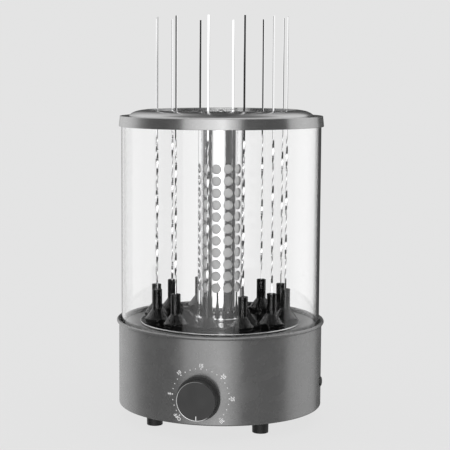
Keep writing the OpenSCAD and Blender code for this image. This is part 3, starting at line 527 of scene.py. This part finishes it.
# Each profile's point is (radius, distance out of the drum, fillet)
bush = dict(place=(122.5, 0, 48.8),
            profile=[(2.6, -3.7, 0.2), (5.8, -3.7, 0.3), (5.8, -1.5, 0.2), (4.1, -1.5), (4.1, -0.1), (5.8, 0),
                     (5.8, 0.9, 0.3), (4.9, 1.65, 0.3), (3.4, 2.2, 0.3), (2.6, 2.2, 0.25)])


def makeBush(s):
    place = Matrix.Translation(s["place"]) @ Matrix.Rotation(math.radians(90), 4, "Y")
    return finish("inletBush", lathe(rounded(s["profile"]), 64), glandPlastic, "base", "gland_plastic",
                  ["cord_gland"], matrix=place)


makeBush(bush)
print("base made")

# ---- Knob and its dial ----

knob = dict(place=(0, -122.5, 50.6), grip=22.8, flange=25.4, back=23.2, low=0.6, depth=20.5, step=7.4,
            dish=0.2, edge=0.03, ring=(21.95, 22.45), hollow=(20.3, 3.4), boss=(6.5, 1.2),
            pointer=(0.85, 5.4, 0.4), pointerAt=-19.7)
# The knob's own +Z points out of the drum's front, and its +Y up
knobPlace = Matrix.Translation(knob["place"]) @ Matrix.Rotation(math.radians(90), 4, "X")


def makeKnob(s):
    depth, grip, step = s["depth"], s["grip"], s["step"]
    face, low = depth - s["dish"], s["low"]
    (hollow, floor), (boss, under) = s["hollow"], s["boss"]
    profile = [(0, face), (s["ring"][0], face, 0.1), (s["ring"][1], depth - s["edge"], 0.05),
               (grip - 0.2, depth - 0.1, 0.12), (grip - 0.08, depth - 1.2, 0.3), (grip, step, 0.25),
               (s["flange"] - 0.6, step, 0.2), (s["flange"], step - 0.8, 0.4), (s["back"], low, 0.3),
               (hollow, low, 0.1), (hollow, floor, 0.4), (boss, floor, 0.4), (boss, under, 0.2), (0, under)]
    bm = lathe(rounded(profile), 192, closed=False)
    return finish("timerKnob", bm, knobPlastic, "knob", "knob_plastic", ["timer_knob"], matrix=knobPlace)


def makeCutEdge(s):
    # The sloping band round the knob's face is cut bright
    low, high = s["ring"]
    face, top = s["depth"] - s["dish"], s["depth"] - s["edge"]
    profile = [(low, face + 0.02), (high, top + 0.02), (high + 0.05, top - 0.3), (low - 0.05, face - 0.3)]
    return finish("knobCutEdge", lathe(profile, 192), cutEdge, "knob", "chrome", matrix=knobPlace)


def makePointer(s):
    wide, long, thick = s["pointer"]
    bm = bmesh.new()
    bmesh.ops.create_cube(bm, size=1)
    place = Matrix.Translation((0, s["pointerAt"], s["depth"] - thick / 2))
    bm.transform(place @ Matrix.Diagonal((wide, long, thick, 1)))
    bmesh.ops.bevel(bm, geom=list(bm.edges), offset=0.05, segments=2, affect="EDGES")
    return finish("knobPointer", bm, dialWhite, "knob", "knob_plastic", matrix=knobPlace)


makeKnob(knob)
makeCutEdge(knob)
makePointer(knob)

dial = dict(r=122.5, axis=50.8, across=0.5, dots=25, ring=33.0, first=-133.2, step=11.25, dot=0.62,
            dotRise=(0.05, 0.02, -0.03), major=1.3, labels=36.4, size=5.6, bold=0.17, raised=0.02, thick=0.03,
            words=["OFF", "5", "10", "15", "20", "25", "30"], apart=45)


def onDrum(x, z, lift):
    r = dial["r"] + lift
    return Vector((x, -math.sqrt(r * r - x * x), z))


def dotTree():
    tree, start = startTree("dialDots", (("Count", "Int"), ("First", "Float"), ("Step", "Float"),
                                         ("Ring", "Float"), ("Drum", "Float"), ("Axis", "Float"),
                                         ("Across", "Float"), ("Major", "Float"), ("Material", "Material")))
    index = add(tree, "GeometryNodeInputIndex").outputs[0]
    angle = maths(tree, "ADD", maths(tree, "MULTIPLY", index, start["Step"]), start["First"])
    x = maths(tree, "MULTIPLY", maths(tree, "SINE", angle), start["Ring"])
    x = maths(tree, "ADD", x, start["Across"])
    z = maths(tree, "MULTIPLY", maths(tree, "COSINE", angle), start["Ring"])
    z = maths(tree, "ADD", z, start["Axis"])
    left = maths(tree, "SUBTRACT", maths(tree, "MULTIPLY", start["Drum"], start["Drum"]),
                 maths(tree, "MULTIPLY", x, x))
    y = maths(tree, "MULTIPLY", maths(tree, "SQRT", left), -1)
    place = add(tree, "ShaderNodeCombineXYZ", X=x, Y=y, Z=z).outputs[0]
    points = add(tree, "GeometryNodePoints", Count=start["Count"], Position=place).outputs[0]
    turn = maths(tree, "ARCSINE", maths(tree, "DIVIDE", x, start["Drum"]))
    # Each fourth dot, which has a number, is larger
    numbered = maths(tree, "LESS_THAN", maths(tree, "MODULO", index, 4), 0.5)
    copies = add(tree, "GeometryNodeInstanceOnPoints", Points=points, Instance=start["Geometry"],
                 Rotation=add(tree, "ShaderNodeCombineXYZ", Z=turn).outputs[0],
                 Scale=mix(tree, numbered, 1.0, start["Major"])).outputs[0]
    endTree(tree, add(tree, "GeometryNodeRealizeInstances", Geometry=copies).outputs[0], start["Material"])
    return tree


def makeDots(s):
    # A low dome whose back lies on the drum, facing -Y
    high, edge, back = s["dotRise"]
    profile = [(0, high), (s["dot"] * 0.8, high), (s["dot"], edge), (s["dot"], back), (0, back)]
    bm = lathe(profile, 16, closed=False)
    bmesh.ops.recalc_face_normals(bm, faces=bm.faces)
    bm.transform(Matrix.Rotation(math.radians(90), 4, "X"))
    mesh = grown("dialDots", bm, dotTree(),
                 {"Count": s["dots"], "First": math.radians(s["first"]), "Step": math.radians(s["step"]),
                  "Ring": s["ring"] * mm, "Drum": s["r"] * mm, "Axis": s["axis"] * mm,
                  "Across": s["across"] * mm, "Major": s["major"], "Material": dialWhite})
    return piece("dialDots", mesh, None, "base")


def makeLabels(s):
    joined = bmesh.new()
    for i, word in enumerate(s["words"]):
        curve = bpy.data.curves.new("label", "FONT")
        curve.body = word
        curve.align_x = "CENTER"
        curve.align_y = "CENTER"
        curve.size = s["size"]
        curve.offset = s["bold"]
        curve.extrude = s["thick"]
        curve.resolution_u = 3
        text = bpy.data.objects.new("label", curve)
        scene.collection.objects.link(text)
        graph = bpy.context.evaluated_depsgraph_get()
        mesh = bpy.data.meshes.new_from_object(text.evaluated_get(graph), depsgraph=graph)
        turn = math.radians(s["first"] + s["apart"] * i)
        place = (Matrix.Translation((s["labels"] * math.sin(turn), s["labels"] * math.cos(turn), 0))
                 @ Matrix.Rotation(-turn, 4, "Z"))
        for v in mesh.vertices:
            p = place @ v.co
            v.co = onDrum(s["across"] + p.x, s["axis"] + p.y, p.z + s["raised"])
        joined.from_mesh(mesh)
        bpy.data.objects.remove(text)
        bpy.data.meshes.remove(mesh)
    bmesh.ops.recalc_face_normals(joined, faces=joined.faces)
    return finish("dialNumbers", joined, dialWhite, "base", "housing_paint")


makeDots(dial)
makeLabels(dial)
print("knob and dial made")

# ---- Turntable: toothed disc, cups and skewers ----


def involute(a):
    return math.tan(a) - a


def toothOutline(count, module, slack=0.1, pressure=math.radians(20)):
    pitch = module * count / 2
    base, root, tip = pitch * math.cos(pressure), pitch - 1.25 * module, pitch + 0.9 * module
    radii = [root, base, pitch, tip] if root < base else [root, pitch, tip]
    points = []
    for i in range(count):
        sides = []
        for r in radii:
            half = math.pi / 2 / count - slack / 2 / pitch + involute(pressure)
            half -= involute(math.acos(base / r)) if r > base else 0
            sides.append((r, half))
        for r, half in sides:
            points.append((r, math.tau * i / count - half))
        for r, half in reversed(sides):
            points.append((r, math.tau * i / count + half))
    return points


def gearRing(outline, z, inset, turn=0.0):
    return [((r - inset) * math.cos(a + turn), (r - inset) * math.sin(a + turn), z) for r, a in outline]


disc = dict(teeth=84, module=1.5875,
            rim=[(117.9, 0.3), (118.2, 0), (120.65, 0), (120.88, 0.1), (121.0, 0.35)],
            hub=[(20.05, 97.5), (25.1, 97.5), (25.4, 97.8), (25.4, 119.3), (31.4, 119.3), (31.4, 117.9),
                 (63.4, 117.9)],
            face=[(63.9, 121.0), (63.4, 121.0), (30.6, 121.0), (20.05, 121.0)])


def makeDisc(s):
    outline = toothOutline(s["teeth"], s["module"])
    n, start = len(outline), outline[0][1]
    rings = [circle(r, z, n, start) for r, z in s["hub"]]
    rings += [gearRing(outline, z, inset) for z, inset in s["rim"]]
    rings += [circle(r, z, n, start) for r, z in s["face"]]
    return finish("toothedDisc", skin(rings), blackGloss, "turntable", "gloss_black", ["centre_gear"],
                  angle=30)


makeDisc(disc)

cup = dict(count=12, ring=79.375, teeth=16, module=1.5875, foot=117.9, footR=9.6, edge=0.25, skirt=121.4,
           skirtR=14.65, lip=13.2, cone=(125.4, 14.1), neck=136.2, top=159.7, stem=5.75, mouth=4.4, bore=2.55,
           boreTop=131.3, slot=(2.8, 1.2), slotFloor=139.7, slotTurn=-585.0)


def cupRings(s):
    outline = toothOutline(s["teeth"], s["module"])
    n = len(outline)
    turn = math.radians(90 + 180 / s["teeth"])
    start = outline[0][1] + turn
    foot, skirt, stem, (cone, coneR) = s["foot"], s["skirt"], s["stem"], s["cone"]
    body = rounded([(s["lip"], skirt), (s["skirtR"], skirt, 0.35), (s["skirtR"], cone, 0.45), (coneR, cone),
                    (stem, s["neck"], 1.2), (stem, s["top"], 0.5), (s["mouth"], s["top"])])
    rings = [circle(s["bore"], s["boreTop"], n, start), circle(s["bore"], foot, n, start),
             circle(s["footR"], foot, n, start), gearRing(outline, foot, s["edge"], turn),
             gearRing(outline, foot + s["edge"], 0, turn), gearRing(outline, skirt, 0, turn)]
    rings += [circle(r, z, n, start) for r, z in body]
    # The skewer's slot is a flat oblong, with as many points as the teeth's outline
    wide, thick = s["slot"]
    slotTurn = math.radians(s["slotTurn"])
    for z in (s["top"], s["slotFloor"]):
        ring = []
        for j in range(n):
            a = start + math.tau * j / n - slotTurn
            reach = min(wide / 2 / max(abs(math.cos(a)), 1e-6), thick / 2 / max(abs(math.sin(a)), 1e-6))
            ring.append((reach * math.cos(a + slotTurn), reach * math.sin(a + slotTurn), z))
        rings.append(ring)
    return rings


def atCup(k):
    return Matrix.Rotation(math.tau * k / cup["count"], 4, "Z") @ Matrix.Translation((0, -cup["ring"], 0))


def makeCup(k, s):
    bm = skin(cupRings(s), closed=False, caps=(True, True))
    number = f"{k + 1:02d}"
    return finish("cup_" + number, bm, blackGloss, "cup_" + number, "gloss_black", ["skewer_cup_" + number],
                  angle=28, matrix=atCup(k))


for k in range(cup["count"]):
    makeCup(k, cup)

skewer = dict(low=140.0, length=342.3, foot=31.0, twist=171.4, turns=1.625, wide=2.5, thick=0.9, edge=0.16,
              steps=96, plain=4)


def makeSkewer(k, s):
    w, t, e = s["wide"] / 2, s["thick"] / 2, s["edge"]
    section = [(w, t - e), (w - e, t), (e - w, t), (-w, t - e),
               (-w, e - t), (e - w, -t), (w - e, -t), (w, e - t)]
    low, top = s["low"], s["low"] + s["length"]
    begin, end = low + s["foot"], low + s["foot"] + s["twist"]
    whole = -math.tau * s["turns"]
    # Each station is (height, turn, size); the blade is plain below and above its even twist
    stations = [(low, whole, 0.8), (low + 0.4, whole, 1.0), (begin - s["plain"], whole, 1.0)]
    for i in range(s["steps"] + 1):
        part = i / s["steps"]
        stations.append((begin + (end - begin) * part, whole * (1 - part), 1.0))
    stations += [(end + s["plain"], 0.0, 1.0), (top - 0.5, 0.0, 1.0), (top, 0.0, 0.72)]
    rings = []
    for z, a, size in stations:
        c, d = math.cos(a) * size, math.sin(a) * size
        rings.append([(x * c - y * d, x * d + y * c, z) for x, y in section])
    number = f"{k + 1:02d}"
    return finish("skewer_" + number + "_blade", skin(rings, closed=False, caps=(True, True)), skewerSteel,
                  "skewer_" + number, "skewer_chrome", ["skewer_" + number], angle=32, matrix=atCup(k))


for k in range(cup["count"]):
    makeSkewer(k, skewer)
print("turntable made")

# ---- Heater column ----

column = dict(r=27.2, inner=26.2, low=124.3, high=365.8, cols=12, rows=11, side=8, pitch=14.2, first=161.6,
              hole=5.65, rim=0.18)


def tubeCell(s):
    half = math.pi / s["cols"]
    side, n = s["side"], 4 * s["side"]
    low, high = -s["pitch"] / 2, s["pitch"] / 2

    def edgePoint(j):
        part, leg = (j % side) / side, j // side
        corners = [(-1, -1), (1, -1), (1, 1), (-1, 1), (-1, -1)]
        a, b = corners[leg], corners[leg + 1]
        return a[0] + (b[0] - a[0]) * part, a[1] + (b[1] - a[1]) * part

    def wrap(angle, z, r):
        return r * math.cos(angle), r * math.sin(angle), z + s["first"]

    def hole(j, radius, r):
        u, v = edgePoint(j)
        turn = math.atan2(v, u)
        return wrap(math.asin(radius * math.cos(turn) / s["r"]), radius * math.sin(turn), r)

    def rim(j, r):
        u, v = edgePoint(j)
        return wrap(u * half, v * high, r)

    rings = [[rim(j, s["r"]) for j in range(n)], [hole(j, s["hole"] + s["rim"], s["r"]) for j in range(n)],
             [hole(j, s["hole"], s["r"] - s["rim"]) for j in range(n)],
             [hole(j, s["hole"], s["inner"] + 0.1) for j in range(n)],
             [hole(j, s["hole"] + 0.1, s["inner"]) for j in range(n)], [rim(j, s["inner"]) for j in range(n)]]
    return skin(rings, closed=False)


def makeTube(s):
    cells = grown("perforated", tubeCell(s), columnArray,
                  {"Columns": s["cols"], "Rows": s["rows"], "Pitch": s["pitch"] * mm, "Turn": 0.0,
                   "Weld": 1e-6, "Material": chrome})
    bm = bmesh.new()
    bm.from_mesh(cells)
    bpy.data.meshes.remove(cells)
    bm.transform(Matrix.Scale(1 / mm, 4))
    # The plain ends of the tube join the cells ring to ring
    holesLow = s["first"] - s["pitch"] / 2
    holesHigh = s["first"] + (s["rows"] - 0.5) * s["pitch"]
    start = -math.pi / s["cols"]
    count = s["cols"] * s["side"]
    for edgeZ, endZ in ((holesLow, s["low"]), (holesHigh, s["high"])):
        rings = [circle(r, z, count, start) for r, z in ((s["r"], edgeZ), (s["r"], endZ), (s["inner"], endZ),
                                                         (s["inner"], edgeZ))]
        rows = [[bm.verts.new(p) for p in ring] for ring in rings]
        for low, high in zip(rows, rows[1:]):
            for j in range(count):
                i = (j + 1) % count
                bm.faces.new((low[j], low[i], high[i], high[j]))
    bmesh.ops.remove_doubles(bm, verts=bm.verts, dist=2e-3)
    bmesh.ops.recalc_face_normals(bm, faces=bm.faces)
    obj = finish("perforatedTube", bm, chrome, "base", "chrome", ["heater_tube"])
    mesh = obj.data
    # The wall's faces take the true direction of the cylinder, so that it mirrors without waves
    normals = [tuple(c.vector) for c in mesh.corner_normals]
    for polygon in mesh.polygons:
        points = [mesh.vertices[v].co for v in polygon.vertices]
        radii = [math.hypot(p.x, p.y) / mm for p in points]
        sign = 0
        if min(radii) > s["r"] - 0.01:
            sign = 1
        elif max(radii) < s["inner"] + 0.01:
            sign = -1
        if sign:
            for loop in polygon.loop_indices:
                p = mesh.vertices[mesh.loops[loop].vertex_index].co
                normals[loop] = tuple(Vector((p.x, p.y, 0)).normalized() * sign)
    mesh.normals_split_custom_set(normals)
    return obj


makeTube(column)


flange = dict(spigot=18.35, out=30.0, low=116.0, step=121.3, high=124.3, inner=26.15, top=130.0, bore=3.1)


def makeFlange(s):
    profile = [(s["spigot"], s["low"]), (s["spigot"], s["step"], 0.1), (s["out"], s["step"], 0.4),
               (s["out"], s["high"], 0.6), (s["inner"] + 0.05, s["high"]), (s["inner"], s["top"], 0.3),
               (s["bore"], s["top"], 0.1), (s["bore"], s["low"], 0.1)]
    return finish("columnFlange", lathe(rounded(profile), 128), chrome, "base", "chrome", ["column_flange"])


makeFlange(flange)


def makePipe(name, s, count, steps, *finishing, angle=35):
    profile = [(s["inner"], s["low"], s["edge"]), (s["outer"], s["low"], s["edge"]),
               (s["outer"], s["high"], s["edge"]), (s["inner"], s["high"], s["edge"])]
    return finish(name, lathe(rounded(profile, steps), count), *finishing, angle=angle)


sleeve = dict(inner=23.4, outer=25.4, low=130.0, high=361.8, edge=0.3)
makePipe("quartzSleeve", sleeve, 128, 4, frosted, "base", "frosted_quartz", ["quartz_sleeve"])
print("column made")

# ---- Glass and lid ----


glass = dict(inner=116.35, outer=119.35, low=117.8, high=363.8, edge=0.5)
makePipe("glassCylinder", glass, 384, 3, clearGlass, "glass", "clear_glass", ["glass_cylinder"], angle=60)

lid = dict(bandLow=353.6, bandR=122.4, topR=121.1, ledge=366.0, wall=1.0, domeR=109.8, domeRise=6.5,
           brim=12.8, arc=(8, 90), straight=0.4, mouth=89.8, rim=1.2, top=373.3, under=1.1, lip=369.6)


def makeLid(s):
    t, z = s["wall"], s["ledge"]
    centre = s["domeR"] - s["brim"]

    def onDome(inset, degrees):
        a = math.radians(degrees)
        return Vector((centre + (s["brim"] - inset) * math.cos(a), z + (s["domeRise"] - inset) * math.sin(a)))

    def dome(inset, start, end, steps=16):
        # The dome lies between a cone and a round curve
        first, last = onDome(inset, start), onDome(inset, end)
        points = []
        for i in range(steps + 1):
            part = i / steps
            curve = onDome(inset, start + (end - start) * part)
            points.append(tuple(curve.lerp(first.lerp(last, part), s["straight"])))
        return points

    low, high = s["arc"]
    mouth, top, lip = s["mouth"], s["top"], s["lip"]
    outer = [(s["bandR"] - t, s["bandLow"], 0.3), (s["bandR"], s["bandLow"], 0.4), (s["topR"], z, 0.45),
             (s["domeR"] + 0.2, z)] + dome(0, low, high)
    outer += [(mouth + s["rim"], top, 0.0), (mouth, top, 0.9), (mouth, lip, 0.3), (mouth + t, lip, 0.3),
              (mouth + t, top - s["under"], 0.3)]
    inner = dome(t, high, low) + [(s["domeR"] - t, z - t, 0.3), (s["topR"] - t, z - t, 0.5)]
    return finish("lidRing", lathe(rounded(outer + inner), 256), lidPaint, "lid", "lid_paint", ["lid_ring"])


makeLid(lid)
print("glass and lid made")

# ---- Finishes of the solids that stay as they are ----

finishes = {
    "bottom_plate": zinc, "foot_screws": screwSteel, "case_screws": screwSteel, "small_screws": screwSteel,
    "spindle_pins": screwSteel, "centre_pillar": zinc, "thrust_washer": nylon, "hub_gear": nylon,
    "drive_pinion": nylon, "motor_shaft": screwSteel, "drive_motor": motorSteel, "motor_bracket": zinc,
    "timer_body": timerCase, "timer_shaft": screwSteel, "heater_core": ceramic, "heating_coil": wire,
    "tie_rod": screwSteel, "column_cap": chrome, "guide_plate": chrome, "top_nut": screwSteel,
    "lid_gasket": silicone, "terminal_block": ivory, "internal_leads": leadRed}
for name, mat in finishes.items():
    mesh = nodes[name].data
    mesh.materials.clear()
    mesh.materials.append(mat)
